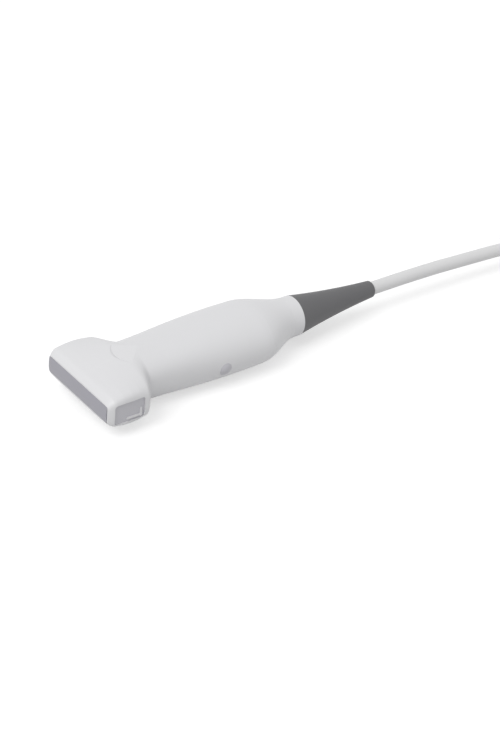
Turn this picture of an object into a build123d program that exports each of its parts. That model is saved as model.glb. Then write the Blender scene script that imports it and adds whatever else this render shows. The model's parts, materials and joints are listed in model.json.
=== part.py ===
from build123d import *
import math
import os

# A linear-array ultrasound probe, lying on its broad face, with its cable put away and its connector.
# Millimetres. While it is modelled, x runs back from the front rim of the head, y across the head
# and z up from the probe's own axis. place() then sets it on the surface that it lies on.

# Housing, lengths along the probe
HEAD_LENGTH = 18.8
SHOULDER_LENGTH = 7.4
GRIP_LENGTH = 52.0
BELLY_LENGTH = 7.5
NECK_LENGTH = 23.5
COLLAR_LENGTH = 3.0
NOSE_ROUND = 3.6

# Housing, widths and heights of its cross-sections
HEAD_WIDTH = 47.4
HEAD_HEIGHT = 14.6
NOSE_SIDE_ROUND = 1.5
NOSE_TOP_ROUND = 2.7
WAIST_WIDTH = 28.8
WAIST_HEIGHT = 23.2
BELLY_WIDTH = 35.6
BELLY_HEIGHT = 25.4
COLLAR_DIAMETER = 18.5
EAR_DROP = 2.3
EAR_DROP_END = 55.0
NOSE_SHARPNESS = 1.6

# Housing, how boxy its cross-sections are: 0 is an ellipse, 1 is a box with small round corners
HEAD_BOXINESS = 0.95
WAIST_BOXINESS = 0.42
COLLAR_BOXINESS = 0.0

# Housing, walls and the lap joint between its halves
WALL = 1.8
LAP_HEIGHT = 1.2
LAP_GAP = 0.1
LAP_ROOT = 0.4
LAP_INSET = 0.3
NOSE_WALL = 2.0
FLANGE_WALL = 2.0
CUT_MARGIN = 1.0

# Thumb rest in the top of the waist
THUMB_RADIUS = 10.8
THUMB_FRONT = 18.0
THUMB_DEPTH = 0.8
THUMB_TILT = 8.0
THUMB_FLARE = 60.0
THUMB_CUT_HEIGHT = 3.0

# Seats for a clip-on guide in the two sides of the head
SEAT_START = 2.6
SEAT_BACK_EDGE = 1.6
SEAT_TOP_EDGE = 2.9
SEAT_LOW_EDGE = 2.1
SEAT_DEPTH = 0.9
SEAT_CORNER = 1.4
SEAT_RIB_LENGTH = 6.4
SEAT_RIB_WIDTH = 0.8
SEAT_RIB_HEIGHT = 0.6
SEAT_RIB_EDGE = 1.2
SEAT_BAR_LENGTH = 3.6
SEAT_BAR_INSET = 2.2

# Side marker
MARKER_BEFORE_BELLY = 14.7
MARKER_DROP = 2.3
MARKER_TILT = 10.0
MARKER_RADIUS = 1.8
MARKER_SINK = 0.18
MARKER_FIT = 0.05
MARKER_EDGE = 0.2

# Acoustic stack
LENS_SIDE_RIM = 0.7
LENS_TOP_RIM = 0.8
LENS_DEPTH = 2.0
LENS_CROWN = 0.35
LENS_CORNER = 0.6
LENS_GAP = 0.1
ARRAY_SIDE_INSET = 1.8
ARRAY_TOP_INSET = 1.1
OUTER_LAYER = 0.4
INNER_LAYER = 0.4
PIEZO_DEPTH = 1.0
ELEMENTS = 24
KERF = 0.2
KERF_DEPTH = 0.7
BACKING_DEPTH = 8.8
CARRIER_START = 4.2
CARRIER_DEPTH = 8.8
CARRIER_WALL = 0.8
CARRIER_GAP = 0.4
CARRIER_RIB_INSET = 5.7
RIB_WIDTH = 1.6

# Boards, their chassis and flexible circuits
CHASSIS_HEIGHT = 2.0
CHASSIS_WIDTH = 19.0
CHASSIS_GAP = 0.3
WING_LENGTH = 4.0
WING_REACH = 2.4
WING_FROM_PEG = 8.0
PEG_SIZE = 3.6
PEG_HEIGHT = 2.2
PEG_TIP_SIZE = 1.6
PEG_HEAD_SIZE = 2.8
PEG_HEAD_HEIGHT = 0.6
PEG_FIT = 0.1
PEG_FROM_END = 11.0
PEG_FROM_EDGE = 3.0
BOARD_WIDTH = 17.0
BOARD_THICKNESS = 1.2
BOARD_START_BEHIND_HEAD = 6.2
BOARD_END_BEFORE_NECK = 4.0
SOCKET_LENGTH = 5.4
SOCKET_WIDTH = 15.0
SOCKET_HEIGHT = 2.2
SOCKET_INSET = 0.5
SOCKET_BEVEL = 0.45
FLEX_THICKNESS = 0.25
FLEX_GAP = 0.05
FLEX_RISE = 0.7
FLEX_EDGE = 1.0
FLEX_LEVEL = 2.0
FAN_EDGE = 1.0
FAN_THICKNESS = 1.2
FAN_END_WIDTH = 4.6
FAN_END_HEIGHT = 2.4

# Cable end, clamp and strain relief
CABLE_DIAMETER = 6.2
CABLE_FIT = 0.05
FERRULE_WALL = 0.85
FERRULE_LENGTH = 8.6
FERRULE_PROUD = 1.0
CLAMP_LENGTH = 6.0
CLAMP_WIDTH = 15.6
CLAMP_HEIGHT = 5.4
CLAMP_GAP = 0.8
CLAMP_ROUND = 1.8
CLAMP_BEHIND_BELLY = 7.2
CLAMP_SCREW_SPREAD = 12.0
SCREW_RADIUS = 0.8
SCREW_HEAD_RADIUS = 1.5
SCREW_HEAD_HEIGHT = 0.9
SCREW_HEAD_SIDES = 6
SCREW_FIT = 0.1
SCREW_TIP_ROOM = 1.0
BOOT_LENGTH = 46.0
BOOT_TIP_DIAMETER = 7.9
BOOT_SAG = 0.6
BOOT_TIP_BEVEL = 0.5
BOOT_FIT = 0.1
PLUG_LENGTH = 7.0
COLLAR_WALL = 2.3
BEAD_HEIGHT = 0.8
BEAD_LENGTH = 2.5
ROOT_SHORT_OF_TIP = 4.0

# Cable put away as a hank beyond the boot
HANK_RUN = 110.0
HANK_TRACKS = 2
HANK_LAYERS = 3
HANK_FOLD_DIAMETERS = 3.0
HANK_START_BEHIND_TIP = 126.0
TIE_THICKNESS = 1.1
TIE_WIDTH = 14.0
TIE_FIT = 0.15
ARC_SHARE = 0.45

# Route of the cable from the boot's tip to the hank: along, across and down from the tip
LEAD_ROUTE = [
    (30.0, 0.0, 0.0),
    (82.0, -1.7, -1.6),
    (115.0, -21.0, -2.1),
]
# Route from the hank to the connector: along from the hank's far fold, across, and up from the surface
TAIL_ROUTE = [
    (10.0, -24.8, 4.2),
    (28.0, -24.4, 4.6),
    (54.0, -17.6, 9.2),
]
TAIL_INTO_BOOT = 4.0

# System connector at the far end of the cable
PLUG_BODY_LENGTH = 56.0
PLUG_BODY_WIDTH = 58.0
PLUG_BODY_HEIGHT = 18.4
PLUG_BODY_ROUND = 3.0
PLUG_BODY_BEVEL = 1.2
PLUG_WALL = 2.0
PLUG_BOOT_FROM_TAIL = 8.0
PLUG_BOOT_LENGTH = 20.0
PLUG_BOOT_DIAMETER = 11.4
PLUG_BOOT_BEVEL = 1.4
PLUG_BOOT_FLANGE = 1.2
GRIP_GROOVES = 6
GRIP_PITCH = 4.0
GRIP_GROOVE_WIDTH = 1.6
GRIP_GROOVE_DEPTH = 0.8
GRIP_MARGIN = 4.0
SHROUD_WIDTH = 44.0
SHROUD_HEIGHT = 11.0
SHROUD_WALL = 0.8
SHROUD_REACH = 8.0
SHROUD_SEAT = 6.0
SHROUD_CORNER = 2.0
CONTACT_ROWS = 2
CONTACT_COLUMNS = 18
CONTACT_PITCH = 2.2
CONTACT_ROW_PITCH = 4.0
CONTACT_SIZE = 0.9
CONTACT_TAIL = 2.0
CONTACT_RECESS = 0.6
PLUG_BOARD_LENGTH = 26.0
PLUG_BOARD_THICKNESS = 1.6
PLUG_BOARD_GAP = 0.3
PLUG_WIRES_WIDTH = 32.0
PLUG_SCREW_RADIUS = 1.2
PLUG_SCREW_HEAD_RADIUS = 2.2
PLUG_SCREW_HEAD_HEIGHT = 1.4
PLUG_SCREW_INSET = 6.0
PLUG_BOSS_SIZE = 6.4
FACE_GAP = 0.1

# Sizes and places that follow
NOSE_WIDTH = HEAD_WIDTH - 2 * NOSE_SIDE_ROUND
NOSE_HEIGHT = HEAD_HEIGHT - 2 * NOSE_TOP_ROUND
LENS_WIDTH = NOSE_WIDTH - 2 * LENS_SIDE_RIM
LENS_HEIGHT = NOSE_HEIGHT - 2 * LENS_TOP_RIM
ARRAY_WIDTH = LENS_WIDTH - 2 * ARRAY_SIDE_INSET
ARRAY_HEIGHT = LENS_HEIGHT - 2 * ARRAY_TOP_INSET
SEAT_LENGTH = HEAD_LENGTH - SEAT_START - SEAT_BACK_EDGE
SEAT_TOP = HEAD_HEIGHT / 2 - SEAT_TOP_EDGE
SEAT_HEIGHT = HEAD_HEIGHT - SEAT_TOP_EDGE - SEAT_LOW_EDGE
WAIST_AT = HEAD_LENGTH + SHOULDER_LENGTH
BELLY_START = WAIST_AT + GRIP_LENGTH
BELLY_END = BELLY_START + BELLY_LENGTH
MARKER_AT = BELLY_START - MARKER_BEFORE_BELLY
COLLAR_START = BELLY_END + NECK_LENGTH
HOUSING_END = COLLAR_START + COLLAR_LENGTH
BOOT_TIP = HOUSING_END + BOOT_LENGTH
PLUG_START = HOUSING_END - PLUG_LENGTH
CAVITY_END = PLUG_START - FLANGE_WALL
CABLE_RADIUS = CABLE_DIAMETER / 2
COLLAR_RADIUS = COLLAR_DIAMETER / 2
FLOOR = -BELLY_HEIGHT / 2
MIDDLE = (BOOT_TIP - LENS_CROWN) / 2

# Control points of a quarter of a cross-section, as shares of its half width and height:
# how far its two ends run straight, and where its corner is pulled to
ELLIPSE_REACH = 0.414
BOX_REACH = 0.92
ELLIPSE_CORNER = 0.776
BOX_CORNER = 1.0

# Stretches of the housing between its bends: the steps of its outside, the steps of its plainer inside,
# and whether the outside is drawn with straight runs from step to step
NOSE_STEPS = 4
HEAD_STEPS = 4
SHOULDER_STEPS = 9
SHOULDER_INNER_STEPS = 6
GRIP_STEPS = 6
NECK_STEPS = 9
STRETCHES = [
    (0, NOSE_ROUND, NOSE_STEPS, 1, True),
    (NOSE_ROUND, HEAD_LENGTH, HEAD_STEPS, HEAD_STEPS // 2, True),
    (HEAD_LENGTH, WAIST_AT, SHOULDER_STEPS, SHOULDER_INNER_STEPS, False),
    (WAIST_AT, BELLY_END, GRIP_STEPS, GRIP_STEPS, True),
    (BELLY_END, HOUSING_END, NECK_STEPS, NECK_STEPS, True),
]
INNER_SHARES = (0.0, 0.36, 0.5, 0.64, 1.0)


def share(x, start, end):
    """How far x has come from start to end, from 0 to 1."""
    return min(max((x - start) / (end - start), 0.0), 1.0)


def ease(x, start, end):
    """A smooth rise from 0 at start to 1 at end."""
    t = share(x, start, end)
    return t * t * (3 - 2 * t)


def nose_rise(x):
    """The rounding of the front edge, from 0 at the rim to 1 behind it."""
    return 1 - (1 - share(x, 0, NOSE_ROUND)) ** NOSE_SHARPNESS


def half_width(x):
    """Half the housing's width: ears, waist, belly and collar in turn."""
    width = NOSE_WIDTH + (HEAD_WIDTH - NOSE_WIDTH) * nose_rise(x)
    width += (WAIST_WIDTH - HEAD_WIDTH) * ease(x, HEAD_LENGTH, WAIST_AT)
    width += (BELLY_WIDTH - WAIST_WIDTH) * ease(x, WAIST_AT, BELLY_START)
    width += (COLLAR_DIAMETER - BELLY_WIDTH) * ease(x, BELLY_END, COLLAR_START)
    return width / 2


def half_height(x):
    """Half the housing's height in the middle of its width."""
    height = NOSE_HEIGHT + (HEAD_HEIGHT - NOSE_HEIGHT) * nose_rise(x)
    height += (WAIST_HEIGHT - HEAD_HEIGHT) * math.sin(math.pi / 2 * share(x, NOSE_ROUND, WAIST_AT))
    height += (BELLY_HEIGHT - WAIST_HEIGHT) * ease(x, WAIST_AT, BELLY_START)
    height += (COLLAR_DIAMETER - BELLY_HEIGHT) * ease(x, BELLY_END, COLLAR_START)
    return height / 2


def ear_drop(x):
    """How much lower the top is at the ears than in the middle."""
    return EAR_DROP * (ease(x, NOSE_ROUND, HEAD_LENGTH) - ease(x, HEAD_LENGTH, EAR_DROP_END))


def boxiness(x):
    """How boxy the cross-section is: a rounded box at the head, a circle at the collar."""
    boxy = HEAD_BOXINESS
    boxy += (WAIST_BOXINESS - HEAD_BOXINESS) * ease(x, HEAD_LENGTH - SHOULDER_LENGTH, WAIST_AT)
    boxy += (COLLAR_BOXINESS - WAIST_BOXINESS) * math.sin(math.pi / 2 * share(x, WAIST_AT, COLLAR_START))
    return boxy


def inner_half_width(x, inset):
    """Half the width drawn in by inset, with the slope of the shoulders allowed for."""
    return half_width(x + inset) - inset


def quarter_controls(x, inset, side):
    """Control points of one upper quarter of the cross-section, from the side to the middle of the top."""
    wide = side * inner_half_width(x, inset)
    high = half_height(x) - inset
    drop = ear_drop(x)
    reach = ELLIPSE_REACH + (BOX_REACH - ELLIPSE_REACH) * boxiness(x)
    corner = ELLIPSE_CORNER + (BOX_CORNER - ELLIPSE_CORNER) * boxiness(x)
    return [
        (x, wide, 0),
        (x, wide, reach * (high - drop)),
        (x, corner * wide, corner * high - drop),
        (x, reach * wide, high - drop * reach * reach),
        (x, 0, high),
    ]


def half_section(x):
    """The upper half of the housing's cross-section at x."""
    near = Edge.make_bezier(*quarter_controls(x, 0, -1))
    far = Edge.make_bezier(*quarter_controls(x, 0, 1))
    return Wire([near, far, Edge.make_line(near @ 0, far @ 0)])


def curve_point(controls, t):
    """The place at share t of the curve that control points draw."""
    degree = len(controls) - 1
    weights = [math.comb(degree, k) * t**k * (1 - t) ** (degree - k) for k in range(degree + 1)]
    return tuple(sum(w * p[axis] for w, p in zip(weights, controls)) for axis in range(3))


def inner_section(x, inset):
    """The upper half of the cross-section drawn in by inset, as a few straight sides."""
    near = [curve_point(quarter_controls(x, inset, -1), t) for t in INNER_SHARES]
    far = [(x, -y, z) for x, y, z in reversed(near[:-1])]
    return Wire.make_polygon(near + far, close=True)


def steps_between(start, end, steps):
    """Evenly spaced places from start to end."""
    return [start + (end - start) * k / steps for k in range(steps + 1)]


def half_body():
    """The solid upper half of the housing's form."""
    body = Part()
    for start, end, steps, _, straight in STRETCHES:
        sections = [half_section(x) for x in steps_between(start, end, steps)]
        body += Solid.make_loft(sections, ruled=straight)
    return body


def inner_body(start, end, inset):
    """The same form between two places, drawn in by inset, with plain sides."""
    body = Part()
    for first, last, _, steps, _ in STRETCHES:
        places = steps_between(max(first, start), min(last, end), steps)
        body += Solid.make_loft([inner_section(x, inset) for x in places], ruled=True)
    return body


def plan_face(start, end, inset):
    """The grip's and neck's outline in plan, drawn in by inset."""
    places = steps_between(start, BELLY_END, GRIP_STEPS) + steps_between(BELLY_END, end, NECK_STEPS)[1:]
    side = [(x, inner_half_width(x, inset)) for x in places]
    return make_face(Polyline(*side, *[(x, -y) for x, y in reversed(side)], close=True))


def block(x, y, z):
    """A box from three pairs of limits."""
    low = Pos(x[0], y[0], z[0])
    return low * Box(x[1] - x[0], y[1] - y[0], z[1] - z[0], align=(Align.MIN, Align.MIN, Align.MIN))


def across(sketch, start, end, y=0.0, z=0.0):
    """A sketch in y and z, carried along x from start to end."""
    base = Plane(origin=(start, y, z), x_dir=(0, 1, 0), z_dir=(1, 0, 0))
    return extrude(base * sketch, amount=end - start)


def rod(start, end, radius, y=0.0, z=0.0):
    """A round bar along x."""
    return across(Circle(radius), start, end, y, z)


def post(x, y, radius, low, high):
    """A round bar along z."""
    return Pos(x, y, low) * Cylinder(radius, high - low, align=(Align.CENTER, Align.CENTER, Align.MIN))


def below(part):
    """The same piece on the other side of the probe's middle plane."""
    return mirror(part, about=Plane.XY)


# The acoustic stack's places, front to back
LAYER_START = LENS_DEPTH
INNER_START = LAYER_START + OUTER_LAYER
PIEZO_START = INNER_START + INNER_LAYER
BACKING_START = PIEZO_START + PIEZO_DEPTH
BACKING_END = BACKING_START + BACKING_DEPTH
CARRIER_END = CARRIER_START + CARRIER_DEPTH
CARRIER_HALF_HEIGHT = ARRAY_HEIGHT / 2 + CARRIER_GAP + CARRIER_WALL
CARRIER_HALF_WIDTH = ARRAY_WIDTH / 2 + CARRIER_GAP + CARRIER_WALL
CARRIER_RIB_AT = ARRAY_WIDTH / 2 - CARRIER_RIB_INSET

# The boards' places
CHASSIS_START = BACKING_END + CHASSIS_GAP
BOARD_START = HEAD_LENGTH + BOARD_START_BEHIND_HEAD
BOARD_END = BELLY_END - BOARD_END_BEFORE_NECK
BOARD_LOW = CHASSIS_HEIGHT / 2 + PEG_HEIGHT
BOARD_HIGH = BOARD_LOW + BOARD_THICKNESS
PEG_ROWS = [BOARD_START + PEG_FROM_END, BOARD_END - PEG_FROM_END]
PEG_OFFSET = BOARD_WIDTH / 2 - PEG_FROM_EDGE
PEG_PLACES = [(x, y) for x in PEG_ROWS for y in (-PEG_OFFSET, PEG_OFFSET)]
WING_PLACES = [PEG_ROWS[0] + WING_FROM_PEG, PEG_ROWS[1] - WING_FROM_PEG - WING_LENGTH]

# The cable end's places
FERRULE_START = BELLY_END + CLAMP_BEHIND_BELLY - FERRULE_PROUD
FERRULE_END = FERRULE_START + FERRULE_LENGTH
FERRULE_RADIUS = CABLE_RADIUS + CABLE_FIT + FERRULE_WALL
CLAMP_START = FERRULE_START + FERRULE_PROUD
CLAMP_END = CLAMP_START + CLAMP_LENGTH
CLAMP_MIDDLE = (CLAMP_START + CLAMP_END) / 2
PLUG_RADIUS = COLLAR_RADIUS - COLLAR_WALL
ROOT_END = BOOT_TIP - ROOT_SHORT_OF_TIP


def lens_window():
    """The opening in the front rim that the lens looks through."""
    opening = RectangleRounded(LENS_WIDTH + 2 * LENS_GAP, LENS_HEIGHT + 2 * LENS_GAP, LENS_CORNER)
    return across(opening, -CUT_MARGIN, NOSE_WALL + CUT_MARGIN)


def collar_bore():
    """The bore and bead groove in the collar that hold the strain relief's plug."""
    bore = rod(CAVITY_END - CUT_MARGIN, HOUSING_END + CUT_MARGIN, PLUG_RADIUS + BOOT_FIT)
    groove_end = PLUG_START + BEAD_LENGTH + BOOT_FIT
    return bore + rod(PLUG_START - BOOT_FIT, groove_end, PLUG_RADIUS + BEAD_HEIGHT + BOOT_FIT)


def seat_pocket(side):
    """The shallow pocket in one side of the head."""
    depth_face = HEAD_WIDTH / 2 - SEAT_DEPTH
    outline = RectangleRounded(SEAT_LENGTH, SEAT_HEIGHT, SEAT_CORNER)
    middle = (SEAT_START + SEAT_LENGTH / 2, side * depth_face, SEAT_TOP - SEAT_HEIGHT / 2)
    base = Plane(origin=middle, x_dir=(side, 0, 0), z_dir=(0, side, 0))
    return extrude(base * outline, amount=2 * SEAT_DEPTH)


def seat_ribs(side):
    """The low rib and cross bar inside one pocket, which a guide clips on."""
    low = SEAT_TOP - SEAT_HEIGHT + SEAT_RIB_EDGE
    end = SEAT_START + SEAT_LENGTH - SEAT_BAR_INSET
    root = HEAD_WIDTH / 2 - WALL / 2
    crest = HEAD_WIDTH / 2 - SEAT_DEPTH + SEAT_RIB_HEIGHT
    faces = sorted((side * root, side * crest))
    rib = block((end - SEAT_RIB_LENGTH, end), faces, (low, low + SEAT_RIB_WIDTH))
    bar = block((end, end + SEAT_RIB_WIDTH), faces, (low - SEAT_RIB_WIDTH / 2, low + SEAT_BAR_LENGTH))
    return rib + bar


def thumb_rest():
    """The cut that sinks the thumb rest: a round, flared front and a flat that rises to the surface behind."""
    top = half_height(THUMB_FRONT) - THUMB_DEPTH
    seat = Plane(origin=(THUMB_FRONT, 0, top)).rotated((0, -THUMB_TILT, 0))
    floor = seat * Pos(THUMB_RADIUS, 0) * Circle(THUMB_RADIUS)
    return extrude(floor, amount=THUMB_CUT_HEIGHT, taper=-THUMB_FLARE)


def carrier_ribs():
    """Ribs inside one half of the head that press on the array carrier."""
    ribs = []
    for y in (-CARRIER_RIB_AT, CARRIER_RIB_AT):
        sides = (y - RIB_WIDTH / 2, y + RIB_WIDTH / 2)
        length = (CARRIER_START + RIB_WIDTH, CARRIER_END - RIB_WIDTH)
        ribs.append(block(length, sides, (CARRIER_HALF_HEIGHT, HEAD_HEIGHT)))
    return ribs


def wing_posts():
    """Posts inside one half of the grip that hold the chassis by its wings."""
    posts = []
    inner = CHASSIS_WIDTH / 2
    for x in WING_PLACES:
        for sides in ((-HEAD_WIDTH / 2, -inner), (inner, HEAD_WIDTH / 2)):
            posts.append(block((x, x + WING_LENGTH), sides, (CHASSIS_HEIGHT / 2, BELLY_HEIGHT / 2)))
    return posts


def housing_half(inner, lining):
    """One moulded half: the outer form less its cavity, with the ribs and posts on the inside."""
    half = half_body() - inner_body(NOSE_WALL, CAVITY_END, WALL)
    for piece in inner:
        half += piece & lining
    half -= lens_window()
    half -= collar_bore()
    return half


def upper_housing(lining):
    half = housing_half(carrier_ribs() + wing_posts(), lining)
    groove = plan_face(WAIST_AT, CAVITY_END, WALL / 2 - LAP_GAP)
    groove -= plan_face(WAIST_AT, CAVITY_END, WALL + LAP_GAP)
    half -= extrude(groove, amount=LAP_HEIGHT + LAP_GAP)
    half -= thumb_rest()
    for side in (-1, 1):
        half -= seat_pocket(side)
    return half


def lower_housing(lining):
    saddle_width = (-CLAMP_WIDTH / 2, CLAMP_WIDTH / 2)
    saddle = block((CLAMP_START, CLAMP_END), saddle_width, (CLAMP_GAP / 2, BELLY_HEIGHT / 2))
    half = below(housing_half(carrier_ribs() + wing_posts() + [saddle], lining))
    tongue = plan_face(WAIST_AT + LAP_GAP, CAVITY_END - LAP_GAP, WALL / 2)
    tongue -= plan_face(WAIST_AT, CAVITY_END, WALL - LAP_INSET)
    half += extrude(Pos(0, 0, -LAP_ROOT) * tongue, amount=LAP_ROOT + LAP_HEIGHT)
    half -= rod(CLAMP_START - CUT_MARGIN, CLAMP_END + CUT_MARGIN, FERRULE_RADIUS + CABLE_FIT)
    for y in (-CLAMP_SCREW_SPREAD / 2, CLAMP_SCREW_SPREAD / 2):
        half -= post(CLAMP_MIDDLE, y, SCREW_RADIUS + SCREW_FIT, -CLAMP_HEIGHT, 0)
    for side in (-1, 1):
        half -= seat_pocket(side)
        half += seat_ribs(side)
    half -= marker_stem(MARKER_RADIUS + MARKER_FIT, CUT_MARGIN)
    return half


def marker_stem(radius, outside):
    """A round bar square to the near wall, from a little outside the marker's face to the wall's inside."""
    face = Vector(MARKER_AT, MARKER_SINK - half_width(MARKER_AT), -MARKER_DROP)
    inward = Vector(0, 1, 0).rotate(Axis.X, MARKER_TILT)
    base = Plane(origin=face - inward * outside, x_dir=(1, 0, 0), z_dir=inward)
    return extrude(base * Circle(radius), amount=WALL + outside)


def orientation_marker():
    stem = marker_stem(MARKER_RADIUS, 0)
    return chamfer(stem.faces().sort_by(Axis.Y)[0].edges(), MARKER_EDGE)


def acoustic_lens():
    """The lens: flat behind, gently crowned in front, with rounded corners."""
    half = LENS_HEIGHT / 2
    front = ThreePointArc((0, -half), (-LENS_CROWN, 0), (0, half))
    edges = [front, Polyline((0, half), (LENS_DEPTH, half), (LENS_DEPTH, -half), (0, -half))]
    profile = make_face(edges)
    base = Plane(origin=(0, LENS_WIDTH / 2, 0), x_dir=(1, 0, 0), z_dir=(0, -1, 0))
    bar = extrude(base * profile, amount=LENS_WIDTH)
    return fillet(bar.edges().filter_by(Axis.X), LENS_CORNER)


def stack_layer(start, depth):
    """One flat layer of the acoustic stack."""
    half = ARRAY_WIDTH / 2
    return block((start, start + depth), (-half, half), (-ARRAY_HEIGHT / 2, ARRAY_HEIGHT / 2))


def piezo_array():
    """The ceramic bar, cut from the front into its elements."""
    bar = stack_layer(PIEZO_START, PIEZO_DEPTH)
    pitch = ARRAY_WIDTH / ELEMENTS
    cuts = []
    for k in range(1, ELEMENTS):
        y = -ARRAY_WIDTH / 2 + pitch * k
        depth = (PIEZO_START, PIEZO_START + KERF_DEPTH)
        cuts.append(block(depth, (y - KERF / 2, y + KERF / 2), (-ARRAY_HEIGHT, ARRAY_HEIGHT)))
    return bar - cuts


def array_carrier():
    """The frame round the backing that the head's ribs hold."""
    ring = Rectangle(2 * CARRIER_HALF_WIDTH, 2 * CARRIER_HALF_HEIGHT)
    ring -= Rectangle(ARRAY_WIDTH + 2 * CARRIER_GAP, ARRAY_HEIGHT + 2 * CARRIER_GAP)
    return across(ring, CARRIER_START, CARRIER_END)


def flex_circuit():
    """A flexible circuit from the array's top edge back and up to its board's socket."""
    low = ARRAY_HEIGHT / 2 + FLEX_GAP
    socket = BOARD_HIGH + FLEX_RISE
    end = BOARD_START + SOCKET_INSET
    bottom = [(PIEZO_START, low), (CARRIER_END, low), (BOARD_START - FLEX_LEVEL, socket), (end, socket)]
    top = [(x, z + FLEX_THICKNESS) for x, z in bottom]
    strip = make_face(Polyline(*bottom, *reversed(top), close=True))
    wide = ARRAY_WIDTH / 2 - FLEX_EDGE
    narrow = SOCKET_WIDTH / 2 - FLEX_EDGE
    base = Plane(origin=(0, wide, 0), x_dir=(1, 0, 0), z_dir=(0, -1, 0))
    sheet = extrude(base * strip, amount=2 * wide)
    plan = [(PIEZO_START, -wide), (CARRIER_END, -wide), (HEAD_LENGTH, -narrow), (end, -narrow)]
    outline = make_face(Polyline(*plan, *[(x, -y) for x, y in reversed(plan)], close=True))
    return sheet & extrude(outline, amount=BELLY_HEIGHT)


def upright(x, y, size, low, high):
    """A square bar along z."""
    return block((x - size / 2, x + size / 2), (y - size / 2, y + size / 2), (low, high))


def board_chassis():
    """The plate between the boards, with wings that the housing holds and pegs staked over both boards."""
    half = CHASSIS_WIDTH / 2
    flat = (-CHASSIS_HEIGHT / 2, CHASSIS_HEIGHT / 2)
    plate = block((CHASSIS_START, BOARD_END), (-half, half), flat)
    for x in WING_PLACES:
        reach = half + WING_REACH
        plate += block((x, x + WING_LENGTH), (-reach, reach), flat)
    top = BOARD_HIGH + PEG_HEAD_HEIGHT
    for x, y in PEG_PLACES:
        plate += upright(x, y, PEG_SIZE, -BOARD_LOW, BOARD_LOW)
        plate += upright(x, y, PEG_TIP_SIZE, -top, top)
        plate += upright(x, y, PEG_HEAD_SIZE, BOARD_HIGH, top)
        plate += upright(x, y, PEG_HEAD_SIZE, -top, -BOARD_HIGH)
    return plate


def interface_board():
    board = block((BOARD_START, BOARD_END), (-BOARD_WIDTH / 2, BOARD_WIDTH / 2), (BOARD_LOW, BOARD_HIGH))
    for x, y in PEG_PLACES:
        board -= upright(x, y, PEG_TIP_SIZE + 2 * PEG_FIT, BOARD_LOW, BOARD_HIGH)
    return board


def board_socket(start):
    """A low socket on a board's outer face, with a bevelled top."""
    half = SOCKET_WIDTH / 2
    top = BOARD_HIGH + SOCKET_HEIGHT
    body = block((start, start + SOCKET_LENGTH), (-half, half), (BOARD_HIGH, top))
    return chamfer(body.faces().sort_by(Axis.Z)[-1].edges(), SOCKET_BEVEL)


def fanned(ends, widths, heights):
    """A flat-sided bundle between two places along x, with its y and z limits at both."""
    (y0, y1), (y2, y3) = widths
    (z0, z1), (z2, z3) = heights
    upright_plane = Plane(origin=(0, 0, 0), x_dir=(1, 0, 0), z_dir=(0, -1, 0))
    side = make_face(Polyline((ends[0], z0), (ends[1], z2), (ends[1], z3), (ends[0], z1), close=True))
    plan = make_face(Polyline((ends[0], y0), (ends[1], y2), (ends[1], y3), (ends[0], y1), close=True))
    tall = extrude(plan, amount=BELLY_HEIGHT, both=True)
    return extrude(upright_plane * side, amount=PLUG_BODY_WIDTH, both=True) & tall


def around(middle, size):
    """The two limits of a size set evenly about a middle."""
    return middle - size / 2, middle + size / 2


def coax_fan():
    """The fine coaxial wires, spread from a board's rear socket to the cable's end."""
    ends = (BOARD_END - SOCKET_INSET, FERRULE_START)
    widths = (around(0, SOCKET_WIDTH - 2 * FAN_EDGE), around(0, FAN_END_WIDTH))
    middle = BOARD_HIGH + SOCKET_HEIGHT / 2
    heights = (around(middle, FAN_THICKNESS), around(CABLE_RADIUS / 2, FAN_END_HEIGHT))
    return fanned(ends, widths, heights)


def cable_root():
    """The cable's jacketed end, from the crimp to just inside the strain relief's tip."""
    return rod(FERRULE_START, ROOT_END, CABLE_RADIUS)


def crimp_ferrule():
    ring = Circle(FERRULE_RADIUS) - Circle(CABLE_RADIUS + CABLE_FIT)
    return across(ring, FERRULE_START, FERRULE_END)


def cable_clamp():
    """The bar that holds the crimp down on the lower half's saddle."""
    half = CLAMP_WIDTH / 2
    bar = block((CLAMP_START, CLAMP_END), (-half, half), (CLAMP_GAP / 2, CLAMP_HEIGHT))
    bar = fillet(bar.edges().filter_by(Axis.X).sort_by(Axis.Z)[-2:], CLAMP_ROUND)
    bar -= rod(CLAMP_START - CUT_MARGIN, CLAMP_END + CUT_MARGIN, FERRULE_RADIUS + CABLE_FIT)
    for y in (-CLAMP_SCREW_SPREAD / 2, CLAMP_SCREW_SPREAD / 2):
        bar -= post(CLAMP_MIDDLE, y, SCREW_RADIUS + SCREW_FIT, 0, CLAMP_HEIGHT)
    return bar


def clamp_screws():
    """Hexagon-headed screws that pull the clamp down on the saddle."""
    screws = []
    for y in (-CLAMP_SCREW_SPREAD / 2, CLAMP_SCREW_SPREAD / 2):
        shank = post(CLAMP_MIDDLE, y, SCREW_RADIUS, SCREW_TIP_ROOM - CLAMP_HEIGHT, CLAMP_HEIGHT)
        seat = Plane(origin=(CLAMP_MIDDLE, y, CLAMP_HEIGHT))
        head = extrude(seat * RegularPolygon(SCREW_HEAD_RADIUS, SCREW_HEAD_SIDES), amount=SCREW_HEAD_HEIGHT)
        screws.append(shank + head)
    return Compound(children=screws)


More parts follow.
